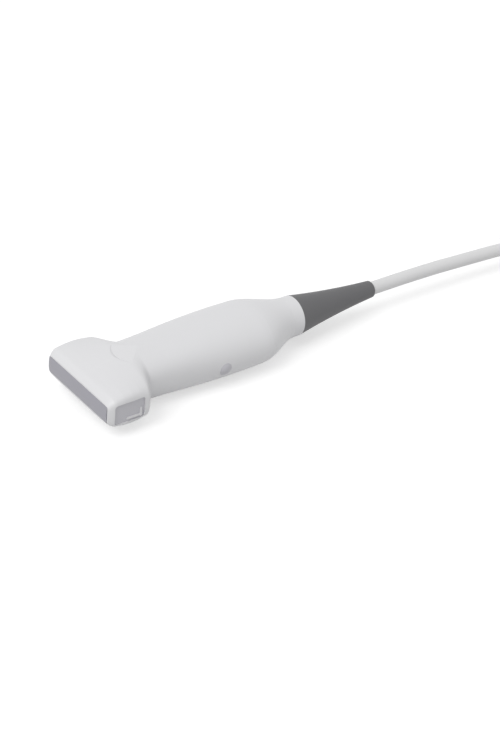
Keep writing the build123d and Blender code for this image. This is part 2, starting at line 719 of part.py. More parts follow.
def strain_relief_boot():
    """The soft boot: a plug with a bead inside the collar, then a hollow-sided taper to the tip."""
    bore = CABLE_RADIUS + CABLE_FIT
    bead = PLUG_RADIUS + BEAD_HEIGHT
    root = (HOUSING_END, COLLAR_RADIUS)
    tip = (BOOT_TIP - BOOT_TIP_BEVEL, BOOT_TIP_DIAMETER / 2)
    middle = ((root[0] + tip[0]) / 2, (root[1] + tip[1]) / 2 - BOOT_SAG)
    inside = Polyline(
        root,
        (HOUSING_END, PLUG_RADIUS),
        (PLUG_START + BEAD_LENGTH, PLUG_RADIUS),
        (PLUG_START + BEAD_LENGTH, bead),
        (PLUG_START, bead),
        (PLUG_START, bore),
        (BOOT_TIP, bore),
        (BOOT_TIP, BOOT_TIP_DIAMETER / 2 - BOOT_TIP_BEVEL),
        tip,
    )
    profile = make_face([inside, ThreePointArc(root, middle, tip)])
    return revolve(Plane.XZ * profile, axis=Axis.X)


# The hank's places
FOLD_RADIUS = HANK_FOLD_DIAMETERS * CABLE_DIAMETER
HANK_INNER = FOLD_RADIUS - CABLE_RADIUS
HANK_OUTER = HANK_INNER + HANK_TRACKS * CABLE_DIAMETER
HANK_HEIGHT = HANK_LAYERS * CABLE_DIAMETER
HANK_LOW = FLOOR + TIE_THICKNESS + TIE_FIT
NEAR_FOLD = BOOT_TIP + HANK_START_BEHIND_TIP
FAR_FOLD = NEAR_FOLD + HANK_RUN
HANK_MIDDLE = (NEAR_FOLD + FAR_FOLD) / 2


def smooth_tube(points):
    """A cable along a route, each corner an arc as large as its two runs allow, and the arcs' radii."""
    route = [Vector(*p) for p in points]
    radii = []
    for before, corner, after in zip(route, route[1:], route[2:]):
        shorter = min((corner - before).length, (after - corner).length)
        turn = (corner - before).get_angle(after - corner)
        radii.append(ARC_SHARE * shorter / math.tan(math.radians(turn) / 2))
    path = FilletPolyline(*route, radius=radii)
    section = Plane(origin=path @ 0, z_dir=path % 0) * Circle(CABLE_RADIUS)
    tube = sweep(section, path=path)
    print("bend radii", [round(r, 1) for r in radii], "length", round(path.length, 1))
    print("volume", round(tube.volume, 1), "section times length", round(section.area * path.length, 1))
    return tube


def cable_hank():
    """The outer form of the cable's turns: an oval ring, three turns high and two wide."""
    base = Plane(origin=(HANK_MIDDLE, 0, HANK_LOW))
    ring = SlotCenterToCenter(HANK_RUN, 2 * HANK_OUTER) - SlotCenterToCenter(HANK_RUN, 2 * HANK_INNER)
    return extrude(base * ring, amount=HANK_HEIGHT)


def hank_tie(side):
    """The strap round one side of the hank."""
    wide = HANK_TRACKS * CABLE_DIAMETER + 2 * TIE_FIT
    high = HANK_HEIGHT + 2 * TIE_FIT
    inner = Rectangle(wide, high)
    outer = Rectangle(wide + 2 * TIE_THICKNESS, high + 2 * TIE_THICKNESS)
    outer = chamfer(outer.vertices(), TIE_THICKNESS / 2)
    middle = (HANK_INNER + HANK_OUTER) / 2
    height = HANK_LOW + HANK_HEIGHT / 2
    return across(outer - inner, *around(HANK_MIDDLE, TIE_WIDTH), side * middle, height)


# The connector's places
PLUG_BOOT_START = FAR_FOLD + TAIL_ROUTE[-1][0] + PLUG_BOOT_FROM_TAIL
PLUG_BOOT_OFFSET = TAIL_ROUTE[-1][1]
BODY_START = PLUG_BOOT_START + PLUG_BOOT_LENGTH
BODY_END = BODY_START + PLUG_BODY_LENGTH
PARTING = FLOOR + TAIL_ROUTE[-1][2]
SHROUD_START = BODY_END - SHROUD_SEAT
SHROUD_END = BODY_END + SHROUD_REACH
PLUG_BOARD_END = SHROUD_START - CONTACT_TAIL
PLUG_BOARD_START = PLUG_BOARD_END - PLUG_BOARD_LENGTH
CABLE_END = BODY_START + PLUG_WALL + FACE_GAP + PLUG_BOOT_FLANGE
PLUG_SCREW_OFFSET = PLUG_BODY_WIDTH / 2 - PLUG_SCREW_INSET
PLUG_SCREW_PLACES = [((BODY_START + BODY_END) / 2, y) for y in (-PLUG_SCREW_OFFSET, PLUG_SCREW_OFFSET)]


def tail_points():
    """The cable's route from the hank into the connector's boot."""
    points = [(FAR_FOLD + x, y, FLOOR + z) for x, y, z in TAIL_ROUTE]
    return points + [(PLUG_BOOT_START + TAIL_INTO_BOOT, PLUG_BOOT_OFFSET, PARTING)]


def lead_points():
    """The cable's route from the strain relief's tip to the hank."""
    return [(ROOT_END, 0, 0)] + [(BOOT_TIP + x, y, z) for x, y, z in LEAD_ROUTE]


def connector_body():
    """The connector's outer form, rounded in plan and bevelled, with grip grooves in its two sides."""
    base = Plane(origin=((BODY_START + BODY_END) / 2, 0, FLOOR))
    outline = RectangleRounded(PLUG_BODY_LENGTH, PLUG_BODY_WIDTH, PLUG_BODY_ROUND)
    body = extrude(base * outline, amount=PLUG_BODY_HEIGHT)
    body = chamfer(body.faces().filter_by(Plane.XY).edges(), PLUG_BODY_BEVEL)
    height = (FLOOR + GRIP_MARGIN, FLOOR + PLUG_BODY_HEIGHT - GRIP_MARGIN)
    for k in range(GRIP_GROOVES):
        x = (BODY_START + BODY_END) / 2 + (k - (GRIP_GROOVES - 1) / 2) * GRIP_PITCH
        for y in (-PLUG_BODY_WIDTH / 2, PLUG_BODY_WIDTH / 2):
            body -= block(around(x, GRIP_GROOVE_WIDTH), around(y, 2 * GRIP_GROOVE_DEPTH), height)
    return body


def connector_space():
    """What is hollow in the connector: its inside, its face opening and the boot's seat."""
    half = PLUG_BODY_WIDTH / 2 - PLUG_WALL
    high = FLOOR + PLUG_BODY_HEIGHT - PLUG_WALL
    length = (BODY_START + PLUG_WALL, SHROUD_START - PLUG_WALL)
    hollow = block(length, (-half, half), (FLOOR + PLUG_WALL, high))
    face = RectangleRounded(SHROUD_WIDTH + 2 * FACE_GAP, SHROUD_HEIGHT + 2 * FACE_GAP, SHROUD_CORNER)
    hollow += across(face, SHROUD_START - PLUG_WALL - CUT_MARGIN, BODY_END + CUT_MARGIN, 0, PARTING)
    seat = PLUG_BOOT_DIAMETER / 2 - PLUG_BOOT_FLANGE
    entry = (BODY_START - CUT_MARGIN, BODY_START + PLUG_WALL + CUT_MARGIN)
    hollow += rod(*entry, seat + FACE_GAP, PLUG_BOOT_OFFSET, PARTING)
    return hollow


def connector_shell(side):
    """One half of the connector's housing, with its screw bosses: side is 1 for the upper half."""
    outer = connector_body()
    bosses = []
    for x, y in PLUG_SCREW_PLACES:
        bosses.append(upright(x, y, PLUG_BOSS_SIZE, FLOOR, FLOOR + PLUG_BODY_HEIGHT) & outer)
    shell = outer - connector_space()
    shell += bosses
    low, high = sorted((PARTING, PARTING + side * PLUG_BODY_HEIGHT))
    length = (BODY_START - CUT_MARGIN, BODY_END + CUT_MARGIN)
    shell &= block(length, (-PLUG_BODY_WIDTH, PLUG_BODY_WIDTH), (low, high))
    hole = PLUG_SCREW_RADIUS + SCREW_FIT
    for x, y in PLUG_SCREW_PLACES:
        if side < 0:
            shell -= post(x, y, hole, FLOOR, PARTING)
            head = PLUG_SCREW_HEAD_RADIUS + SCREW_FIT
            shell -= post(x, y, head, FLOOR, FLOOR + PLUG_WALL + PLUG_SCREW_HEAD_HEIGHT)
        else:
            shell -= post(x, y, hole, PARTING, PARTING + PLUG_BODY_HEIGHT / 2 - PLUG_WALL)
    return shell


def connector_screws():
    """Screws from the underside, heads sunk in the lower shell."""
    screws = []
    seat = FLOOR + PLUG_WALL + PLUG_SCREW_HEAD_HEIGHT
    for x, y in PLUG_SCREW_PLACES:
        head = post(x, y, PLUG_SCREW_HEAD_RADIUS, FLOOR + PLUG_WALL, seat)
        screws.append(head + post(x, y, PLUG_SCREW_RADIUS, seat, PARTING + PLUG_BODY_HEIGHT / 4))
    return Compound(children=screws)


def connector_shroud():
    """The metal sleeve round the contacts."""
    ring = RectangleRounded(SHROUD_WIDTH, SHROUD_HEIGHT, SHROUD_CORNER)
    ring -= RectangleRounded(
        SHROUD_WIDTH - 2 * SHROUD_WALL, SHROUD_HEIGHT - 2 * SHROUD_WALL, SHROUD_CORNER - SHROUD_WALL
    )
    return across(ring, SHROUD_START, SHROUD_END, 0, PARTING)


def contact_places():
    """Where the contacts stand, across and up."""
    columns = [(c - (CONTACT_COLUMNS - 1) / 2) * CONTACT_PITCH for c in range(CONTACT_COLUMNS)]
    rows = [(r - (CONTACT_ROWS - 1) / 2) * CONTACT_ROW_PITCH for r in range(CONTACT_ROWS)]
    return [(y, z) for y in columns for z in rows]


def contact_block():
    """The insulator that carries the contacts, filling the sleeve."""
    inset = 2 * (SHROUD_WALL + CABLE_FIT)
    outline = RectangleRounded(SHROUD_WIDTH - inset, SHROUD_HEIGHT - inset, SHROUD_CORNER - SHROUD_WALL)
    body = across(outline, SHROUD_START, SHROUD_END - CONTACT_RECESS, 0, PARTING)
    holes = Sketch() + [Pos(y, z) * Rectangle(CONTACT_SIZE, CONTACT_SIZE) for y, z in contact_places()]
    return body - across(holes, SHROUD_START, SHROUD_END, 0, PARTING)


def contact_pins():
    """The contacts, each with a tail behind the block that meets the board."""
    size = CONTACT_SIZE - CABLE_FIT
    pins = []
    for y, z in contact_places():
        end = SHROUD_END - CONTACT_RECESS
        pins.append(across(Rectangle(size, size), SHROUD_START - CONTACT_TAIL, end, y, PARTING + z))
    return Compound(children=pins)


def connector_board():
    """The board behind the contacts."""
    half = PLUG_SCREW_OFFSET - PLUG_BOSS_SIZE / 2 - PLUG_BOARD_GAP
    flat = (PARTING - PLUG_BOARD_THICKNESS / 2, PARTING + PLUG_BOARD_THICKNESS / 2)
    return block((PLUG_BOARD_START, PLUG_BOARD_END), (-half, half), flat)


def connector_boot():
    """The connector's strain relief: a flange inside the shells and a bevelled sleeve outside."""
    root = PLUG_BOOT_DIAMETER / 2
    outside = BODY_START - FACE_GAP
    inside = BODY_START + PLUG_WALL + FACE_GAP
    sleeve = rod(PLUG_BOOT_START, outside, root)
    boot = chamfer(sleeve.faces().sort_by(Axis.X)[0].edges(), PLUG_BOOT_BEVEL)
    boot += rod(outside, inside, root - PLUG_BOOT_FLANGE)
    boot += rod(inside, CABLE_END, root)
    boot -= rod(PLUG_BOOT_START, CABLE_END, CABLE_RADIUS + CABLE_FIT)
    return Pos(0, PLUG_BOOT_OFFSET, PARTING) * boot


def connector_cable_end():
    """The cable's jacketed end inside the connector's strain relief."""
    return rod(PLUG_BOOT_START + TAIL_INTO_BOOT, CABLE_END, CABLE_RADIUS, PLUG_BOOT_OFFSET, PARTING)


def connector_wires():
    """The fine coaxial wires, spread from the cable's end to the rear edge of the connector's board."""
    widths = (around(PLUG_BOOT_OFFSET, FAN_END_HEIGHT), around(0, PLUG_WIRES_WIDTH))
    heights = (around(PARTING, FAN_END_HEIGHT), around(PARTING, PLUG_BOARD_THICKNESS))
    return fanned((CABLE_END, PLUG_BOARD_START), widths, heights)


def place(part):
    """Set a piece in the part's own frame: the middle of the probe over the origin, on the surface."""
    return Pos(-MIDDLE, 0, -FLOOR) * part


LINING = inner_body(0, HOUSING_END, WALL / 2)
HANK = cable_hank()
FLEX = flex_circuit()
BOARD = interface_board()
FRONT_SOCKET = board_socket(BOARD_START + SOCKET_INSET)
REAR_SOCKET = board_socket(BOARD_END - SOCKET_INSET - SOCKET_LENGTH)
FAN = coax_fan()

NODES = {
    "upper_housing": upper_housing(LINING),
    "lower_housing": lower_housing(LINING),
    "acoustic_lens": acoustic_lens(),
    "outer_matching_layer": stack_layer(LAYER_START, OUTER_LAYER),
    "inner_matching_layer": stack_layer(INNER_START, INNER_LAYER),
    "piezo_array": piezo_array(),
    "backing_block": stack_layer(BACKING_START, BACKING_DEPTH),
    "array_carrier": array_carrier(),
    "flex_circuit_upper": FLEX,
    "flex_circuit_lower": below(FLEX),
    "board_chassis": board_chassis(),
    "interface_board_upper": BOARD,
    "interface_board_lower": below(BOARD),
    "flex_socket_upper": FRONT_SOCKET,
    "flex_socket_lower": below(FRONT_SOCKET),
    "wire_socket_upper": REAR_SOCKET,
    "wire_socket_lower": below(REAR_SOCKET),
    "coax_fan_upper": FAN,
    "coax_fan_lower": below(FAN),
    "cable_root": cable_root(),
    "crimp_ferrule": crimp_ferrule(),
    "cable_clamp": cable_clamp(),
    "clamp_screws": clamp_screws(),
    "strain_relief_boot": strain_relief_boot(),
    "orientation_marker": orientation_marker(),
    "cable_lead": smooth_tube(lead_points()) - HANK,
    "cable_hank": HANK,
    "hank_tie_near": hank_tie(-1),
    "hank_tie_far": hank_tie(1),
    "cable_tail": smooth_tube(tail_points()) - HANK,
    "connector_boot": connector_boot(),
    "connector_cable_end": connector_cable_end(),
    "connector_wires": connector_wires(),
    "connector_upper_shell": connector_shell(1),
    "connector_lower_shell": connector_shell(-1),
    "connector_screws": connector_screws(),
    "connector_shroud": connector_shroud(),
    "contact_block": contact_block(),
    "contact_pins": contact_pins(),
    "connector_board": connector_board(),
}

os.makedirs("parts", exist_ok=True)
for name, part in NODES.items():
    export_step(place(part), f"parts/{name}.step")
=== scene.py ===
import json
import math

import bmesh
import bpy
from mathutils import Matrix, Vector


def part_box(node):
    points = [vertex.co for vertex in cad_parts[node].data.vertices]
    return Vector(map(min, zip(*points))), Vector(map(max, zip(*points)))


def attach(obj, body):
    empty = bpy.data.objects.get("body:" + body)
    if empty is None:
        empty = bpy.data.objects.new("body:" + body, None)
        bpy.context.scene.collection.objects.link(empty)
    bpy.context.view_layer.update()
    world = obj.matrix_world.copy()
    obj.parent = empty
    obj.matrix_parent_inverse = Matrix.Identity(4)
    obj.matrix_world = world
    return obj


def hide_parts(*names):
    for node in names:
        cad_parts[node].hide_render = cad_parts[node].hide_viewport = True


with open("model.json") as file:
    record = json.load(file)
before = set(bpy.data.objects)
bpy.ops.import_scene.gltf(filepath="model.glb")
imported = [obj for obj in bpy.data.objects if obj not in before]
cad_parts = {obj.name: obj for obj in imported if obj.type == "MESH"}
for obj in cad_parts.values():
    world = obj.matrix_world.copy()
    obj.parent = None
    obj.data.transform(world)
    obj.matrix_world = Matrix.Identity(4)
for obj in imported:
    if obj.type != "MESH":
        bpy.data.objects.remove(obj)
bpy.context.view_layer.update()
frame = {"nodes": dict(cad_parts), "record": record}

# A linear-array ultrasound probe on a pale surface. Metres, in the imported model's own frame.
MM = 0.001

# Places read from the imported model
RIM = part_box("upper_housing")[0].x
BOOT_LOW, BOOT_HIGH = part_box("strain_relief_boot")
AXIS_HEIGHT = (BOOT_LOW.z + BOOT_HIGH.z) / 2
BOOT_TIP = BOOT_HIGH.x
HANK_LOW, HANK_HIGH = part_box("cable_hank")
NEAR_FOLD = HANK_LOW.x + HANK_HIGH.y
FAR_FOLD = HANK_HIGH.x - HANK_HIGH.y

# The guide seats in the head's sides: from the rim back, about the axis, and out from the middle
SEAT_START = 2.6 * MM
SEAT_END = 17.2 * MM
SEAT_LOW = -5.2 * MM
SEAT_HIGH = 4.4 * MM
SEAT_FLOOR = 22.9 * MM

# The view: a long lens, seen from the front left and above, with the camera a little rolled
IMAGE_WIDTH = 500
IMAGE_HEIGHT = 751
SENSOR = 36.0
FOCAL_PIXELS = 1700.0
CAMERA_AZIMUTH = math.radians(-40.78)
CAMERA_ELEVATION = math.radians(34.03)
CAMERA_ROLL = math.radians(5.92)
CAMERA_DISTANCE = 730.07 * MM
CAMERA_CLIP_START = 10.0 * MM
AIM_BEHIND_RIM = 70.0 * MM
AIM_PIXEL = (215.56, 341.81)

# The cable, and its route in millimetres: from the boot's tip to the hank, and on from the hank's far fold
CABLE_DIAMETER = 6.2 * MM
CABLE_START_INSIDE_TIP = 4.0 * MM
LEAD_ROUTE = [
    (30.0, 0.0, 0.0),
    (64.0, -1.1, -1.1),
    (92.0, -2.1, -1.9),
    (116.0, -20.5, -2.1),
]
TAIL_ROUTE = [
    (10.0, -24.8, 4.2),
    (28.0, -24.4, 4.6),
    (54.0, -17.6, 9.2),
    (66.0, -17.6, 9.2),
]
CABLE_ORDER = 3
CABLE_LINE_STEPS = 6
CABLE_ROUND_STEPS = 6
CABLE_SOLIDS = ["cable_lead", "cable_hank", "cable_tail"]

# The hank's turns in the order they are wound, each as its track from the inside and its layer
TURNS = [(1, 1), (1, 2), (0, 2), (0, 1), (0, 0), (1, 0)]
TRACKS = 2
RUN_POINTS = 8
FOLD_POINTS = 6

# The orientation dot on the grip's near side: a low dome round the solid marker's face
MARKER_DROP = 2.3 * MM
MARKER_TILT = math.radians(10)
MARKER_SLANT = 0.28 * MM
MARKER_RADIUS = 2.8 * MM
MARKER_RISE = 0.95 * MM
MARKER_BED = 0.5 * MM
MARKER_SIDES = 48
MARKER_RINGS = 32

# The two straps round the hank: a band in two layers, whose free end lies on its outer side
STRAP_LAYER = 0.55 * MM
STRAP_CORNER = 3.6 * MM
STRAP_STEPS = 6
STRAP_END_SHARE = 0.38
STRAP_RIM = 0.14 * MM
STRAP_RIM_STEPS = 2
STRAP_RIM_ANGLE = math.radians(40)

# How squarely a face looks along an axis to count as facing it, and the angle that still shades smooth
FACING = 0.9
SMOOTH_ANGLE = math.radians(30)

# The drift of colour and gloss and the fine grain that all moulded finishes share, in cells to the metre
DRIFT_SCALE = 60.0
DRIFT_DETAIL = 2.0
DRIFT_GLOSS = 0.10
GRAIN_DETAIL = 1.0
GRAIN_GLOSS = 0.06

# The housing's plastic, and the rougher floor of its guide seats, darkened by painted shade
HOUSING_SHADES = [(0.745, 0.745, 0.76), (0.755, 0.755, 0.77)]
HOUSING_ROUGHNESS = 0.42
HOUSING_GRAIN = 2400.0
HOUSING_DEPTH = 0.012 * MM
SEAT_PAINTED_SHADE_COLOUR = (0.60, 0.595, 0.63)
SEAT_ROUGHER = 0.25
SEAT_DEEPER = 4.0

# The other moulded finishes: colour, roughness, cells of grain to the metre, grain's depth, drift of colour
MOULDED = {
    "lens_silicone": ((0.352, 0.347, 0.388), 0.38, 1500.0, 0.010 * MM, 0.03),
    "boot_rubber": ((0.130, 0.130, 0.135), 0.55, 2000.0, 0.020 * MM, 0.05),
    # The marker's colour is darker than the housing's: painted shade of the dot.
    "marker_plastic": ((0.53, 0.525, 0.56), 0.40, 2400.0, 0.010 * MM, 0.02),
    "black_plastic": ((0.022, 0.022, 0.025), 0.45, 2200.0, 0.015 * MM, 0.10),
    "matching_resin": ((0.28, 0.26, 0.22), 0.50, 1800.0, 0.010 * MM, 0.08),
    "ceramic": ((0.52, 0.49, 0.39), 0.60, 4000.0, 0.010 * MM, 0.06),
    "backing_compound": ((0.05, 0.05, 0.05), 0.70, 1200.0, 0.030 * MM, 0.15),
}

# The flexible circuits: amber film, then copper lines
FILM_COLOURS = [(0.45, 0.20, 0.03), (0.62, 0.33, 0.08)]
FILM_ROUGHNESS = 0.28
FILM_LINES = 500.0
FILM_LEVEL = 0.5

# The circuit boards: green mask, then the mask over copper tracks
BOARD_COLOURS = [(0.015, 0.11, 0.045), (0.05, 0.20, 0.07)]
BOARD_ROUGHNESS = 0.35
BOARD_TRACKS = 260.0
BOARD_WAVER = 1.5
BOARD_LEVEL = 0.8
BOARD_DEPTH = 0.03 * MM

# The bundles of fine wires
WIRE_SHADES = [(0.25, 0.26, 0.32), (0.62, 0.62, 0.68)]
WIRE_ROUGHNESS = 0.45
WIRE_STRANDS = (30.0, 2400.0, 2400.0)
WIRE_DEPTH = 0.15 * MM

# The cable's jacket
JACKET_COLOUR = (0.735, 0.735, 0.74)
JACKET_SHADES = (0.97, 1.02)
JACKET_ROUGHNESS = 0.42
JACKET_SMOOTHER = 0.08
JACKET_GLOSS = 0.12
JACKET_WAVES = 90.0
JACKET_WAVE_SHARE = 0.8
JACKET_GRAIN = 1800.0
JACKET_GRAIN_SHARE = 0.2
JACKET_DEPTH = 0.05 * MM

# The straps' webbing
WEBBING_SHADES = [(0.030, 0.030, 0.034), (0.085, 0.085, 0.092)]
WEBBING_ROUGHNESS = 0.9
WEBBING_SHEEN = 0.4
WEBBING_RIBS = 330.0
WEBBING_RIB_SHARE = 0.5
WEBBING_NAP = 2600.0
WEBBING_NAP_DETAIL = 3.0
WEBBING_DEPTH = 0.25 * MM

# The drawn metals: colour, roughness, and the axis that their fine lines follow
METALS = {
    "chassis_metal": ((0.60, 0.61, 0.62), 0.38, "X"),
    "screw_steel": ((0.55, 0.55, 0.56), 0.30, "Z"),
    "shroud_metal": ((0.62, 0.62, 0.62), 0.28, "X"),
    "ferrule_brass": ((0.68, 0.52, 0.26), 0.30, "X"),
    "contact_gold": ((0.85, 0.62, 0.25), 0.22, "X"),
}
METAL_LINES_ALONG = 120.0
METAL_LINES_ACROSS = 6000.0
METAL_DETAIL = 3.0
METAL_SHADE = 0.90
METAL_SMOOTHER = 0.12
METAL_GLOSS = 0.25
METAL_DEPTH = 0.01 * MM

# The surface and the light
WHITE = (1.0, 1.0, 1.0, 1.0)
FLOOR_SIZE = 6.0
FLOOR_ALBEDO = 0.62
FLOOR_ROUGHNESS = 0.9
FLOOR_GLOW = 0.52
SKY_STRENGTH = 0.62
KEY_STRENGTH = 1.26
KEY_SPREAD = math.radians(35)
KEY_FROM = Vector((-0.62, -0.08, 0.80))

# The numbers of a Mix node's sockets for colours
MIX_FACTOR = 0
MIX_FIRST = 6
MIX_SECOND = 7
MIX_COLOUR = 2


def view_axes():
    """The camera's right, up and backward directions."""
    level = math.cos(CAMERA_ELEVATION)
    back = Vector((
        math.sin(CAMERA_AZIMUTH) * level,
        -math.cos(CAMERA_AZIMUTH) * level,
        math.sin(CAMERA_ELEVATION),
    ))
    right = Vector((math.cos(CAMERA_AZIMUTH), math.sin(CAMERA_AZIMUTH), 0))
    up = back.cross(right)
    turn = Matrix.Rotation(CAMERA_ROLL, 3, back)
    return turn @ right, turn @ up, back


def add_camera():
    right, up, back = view_axes()
    aim = Vector((RIM + AIM_BEHIND_RIM, 0, AXIS_HEIGHT))
    scale = CAMERA_DISTANCE / FOCAL_PIXELS
    aside = (AIM_PIXEL[0] - IMAGE_WIDTH / 2) * scale
    above = (IMAGE_HEIGHT / 2 - AIM_PIXEL[1]) * scale
    place = aim - aside * right - above * up + CAMERA_DISTANCE * back
    data = bpy.data.cameras.new("camera")
    data.sensor_width = SENSOR
    data.lens = FOCAL_PIXELS * SENSOR / IMAGE_HEIGHT
    data.clip_start = CAMERA_CLIP_START
    camera = bpy.data.objects.new("camera", data)
    turn = Matrix((right, up, back)).transposed().to_4x4()
    camera.matrix_world = Matrix.Translation(place) @ turn
    bpy.context.scene.collection.objects.link(camera)
    bpy.context.scene.camera = camera


def soft_step(value):
    """A soft step from 0 to 1."""
    t = min(max(value, 0.0), 1.0)
    return t * t * (3 - 2 * t)


def turn_stations():
    """One turn's stations: place along the run, way out, way across, and how far through the changeover.

    A turn goes out along the near run, round the far fold, back along the far run and round the near fold.
    It changes over to the next turn's place on its way back.
    """
    bulge = 1 / math.cos(math.pi / FOLD_POINTS / 2)
    half = RUN_POINTS + FOLD_POINTS
    stations = []
    for start, end, side, changing in ((NEAR_FOLD, FAR_FOLD, -1, 0), (FAR_FOLD, NEAR_FOLD, 1, 1)):
        for k in range(RUN_POINTS):
            x = start + (end - start) * k / RUN_POINTS
            stations.append((x, 0, side, changing * k / half))
        for k in range(FOLD_POINTS):
            angle = math.pi * (k + 0.5) / FOLD_POINTS
            out = -side * bulge * math.sin(angle)
            across = side * bulge * math.cos(angle)
            stations.append((end, out, across, changing * (RUN_POINTS + k + 0.5) / half))
    return stations


def hank_points():
    """The cable's turns. Each turn moves to the next one's place after that one has left it."""
    inner = HANK_HIGH.y - (TRACKS - 0.5) * CABLE_DIAMETER
    lowest = HANK_LOW.z + CABLE_DIAMETER / 2
    changes = len(TURNS) - 1
    points = []
    for k, (track, layer) in enumerate(TURNS):
        stations = turn_stations()
        if k == changes:
            stations = stations[:RUN_POINTS]
        later = TURNS[min(k + 1, changes)]
        for x, out, across, share in stations:
            moved = soft_step(share * changes - (changes - 1 - k))
            radius = inner + CABLE_DIAMETER * (track + (later[0] - track) * moved)
            height = lowest + CABLE_DIAMETER * (layer + (later[1] - layer) * moved)
            points.append((x + out * radius, across * radius, height))
    return points


def cable_points():
    points = [(BOOT_TIP - CABLE_START_INSIDE_TIP, 0.0, AXIS_HEIGHT)]
    points += [(BOOT_TIP + x * MM, y * MM, AXIS_HEIGHT + z * MM) for x, y, z in LEAD_ROUTE]
    points += hank_points()
    points += [(FAR_FOLD + x * MM, y * MM, z * MM) for x, y, z in TAIL_ROUTE]
    return points


def add_cable():
    """The whole cable as one smooth line with a round section."""
    data = bpy.data.curves.new("cable", "CURVE")
    data.dimensions = "3D"
    data.bevel_depth = CABLE_DIAMETER / 2
    data.bevel_resolution = CABLE_ROUND_STEPS
    data.resolution_u = CABLE_LINE_STEPS
    data.use_fill_caps = True
    points = cable_points()
    spline = data.splines.new("NURBS")
    spline.points.add(len(points) - 1)
    for point, place in zip(spline.points, points):
        point.co = (*place, 1.0)
    spline.order_u = CABLE_ORDER
    spline.use_endpoint_u = True
    cable = bpy.data.objects.new("cable", data)
    bpy.context.scene.collection.objects.link(cable)
    return cable


def select(piece, kind, wanted):
    """In edit mode, select only the faces or edges that are wanted."""
    bpy.ops.mesh.select_mode(type=kind)
    bpy.ops.mesh.select_all(action="DESELECT")
    mesh = bmesh.from_edit_mesh(piece.data)
    for part in mesh.faces if kind == "FACE" else mesh.edges:
        part.select_set(wanted(part))
    bmesh.update_edit_mesh(piece.data)


def add_marker():
    """The orientation dot: the cap of a ball, closed behind the grip's face."""
    low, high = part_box("orientation_marker")
    face = Vector(((low.x + high.x) / 2, low.y + MARKER_SLANT, AXIS_HEIGHT - MARKER_DROP))
    outward = Vector((0, -math.cos(MARKER_TILT), -math.sin(MARKER_TILT)))
    radius = (MARKER_RADIUS ** 2 + MARKER_RISE ** 2) / (2 * MARKER_RISE)
    bpy.ops.object.select_all(action="DESELECT")
    bpy.ops.mesh.primitive_uv_sphere_add(
        segments=MARKER_SIDES,
        ring_count=MARKER_RINGS,
        radius=radius,
        location=face + outward * (MARKER_RISE - radius),
        rotation=outward.to_track_quat("Z", "Y").to_euler(),
    )
    marker = bpy.context.object
    marker.name = "marker_dot"
    bpy.ops.object.transform_apply(location=True, rotation=True, scale=True)
    bpy.ops.object.mode_set(mode="EDIT")
    bpy.ops.mesh.select_all(action="SELECT")
    behind = face - outward * MARKER_BED
    bpy.ops.mesh.bisect(plane_co=behind, plane_no=outward, use_fill=True, clear_inner=True)
    bpy.ops.object.mode_set(mode="OBJECT")
    bpy.ops.object.shade_smooth_by_angle(angle=SMOOTH_ANGLE)
    return marker


def add_strap(name, node):
    """A strap round one side of the hank: a rounded band, lapped all round but for its lower outer side."""
    low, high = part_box(node)
    inset = Vector((0, STRAP_LAYER, STRAP_LAYER))
    outward = math.copysign(1, low.y)
    end_height = low.z + (high.z - low.z) * STRAP_END_SHARE

    def at_an_end(face):
        return abs(face.normal.x) > FACING

    def along_the_band(edge):
        return edge.verts[0].co.yz == edge.verts[1].co.yz

    def lapped(face):
        on_outer_side = face.normal.y * outward > FACING
        return not on_outer_side or face.calc_center_median().z > end_height

    bpy.ops.object.select_all(action="DESELECT")
    bpy.ops.mesh.primitive_cube_add(size=1, location=(low + high) / 2, scale=high - low - 2 * inset)
    strap = bpy.context.object
    strap.name = name
    bpy.ops.object.transform_apply(location=True, rotation=True, scale=True)
    bpy.ops.object.mode_set(mode="EDIT")
    select(strap, "FACE", at_an_end)
    bpy.ops.mesh.delete(type="ONLY_FACE")
    select(strap, "EDGE", along_the_band)
    bpy.ops.mesh.bevel(offset=STRAP_CORNER, segments=STRAP_STEPS, affect="EDGES")
    bpy.ops.mesh.select_all(action="SELECT")
    bpy.ops.mesh.bisect(plane_co=(0, 0, end_height), plane_no=(0, 0, 1))
    select(strap, "FACE", lapped)
    bpy.ops.mesh.duplicate()
    bpy.ops.transform.shrink_fatten(value=STRAP_LAYER)
    bpy.ops.object.mode_set(mode="OBJECT")
    wall = strap.modifiers.new("wall", "SOLIDIFY")
    wall.thickness = STRAP_LAYER
    wall.offset = -1
    wall.use_even_offset = True
    bpy.ops.object.modifier_apply(modifier=wall.name)
    rim = strap.modifiers.new("rim", "BEVEL")
    rim.width = STRAP_RIM
    rim.segments = STRAP_RIM_STEPS
    rim.limit_method = "ANGLE"
    rim.angle_limit = STRAP_RIM_ANGLE
    bpy.ops.object.modifier_apply(modifier=rim.name)
    bpy.ops.object.shade_smooth_by_angle(angle=SMOOTH_ANGLE)
    return strap


class Value:
    """A node's output, with arithmetic that adds Math nodes."""

    def __init__(self, graph, socket):
        self.graph = graph
        self.socket = socket

    def math(self, operation, *values):
        return self.graph.node("Math", {"operation": operation}, dict(enumerate(values)))

    def __add__(self, other):
        return self.math("ADD", self, other)

    def __radd__(self, other):
        return self.math("ADD", other, self)

    def __sub__(self, other):
        return self.math("SUBTRACT", self, other)

    def __rsub__(self, other):
        return self.math("SUBTRACT", other, self)

    def __mul__(self, other):
        return self.math("MULTIPLY", self, other)

    def __rmul__(self, other):
        return self.math("MULTIPLY", other, self)

    def __gt__(self, other):
        return self.math("GREATER_THAN", self, other)

    def __lt__(self, other):
        return self.math("LESS_THAN", self, other)

    def __or__(self, other):
        return self.math("MAXIMUM", self, other)

    def __abs__(self):
        return self.math("ABSOLUTE", self)


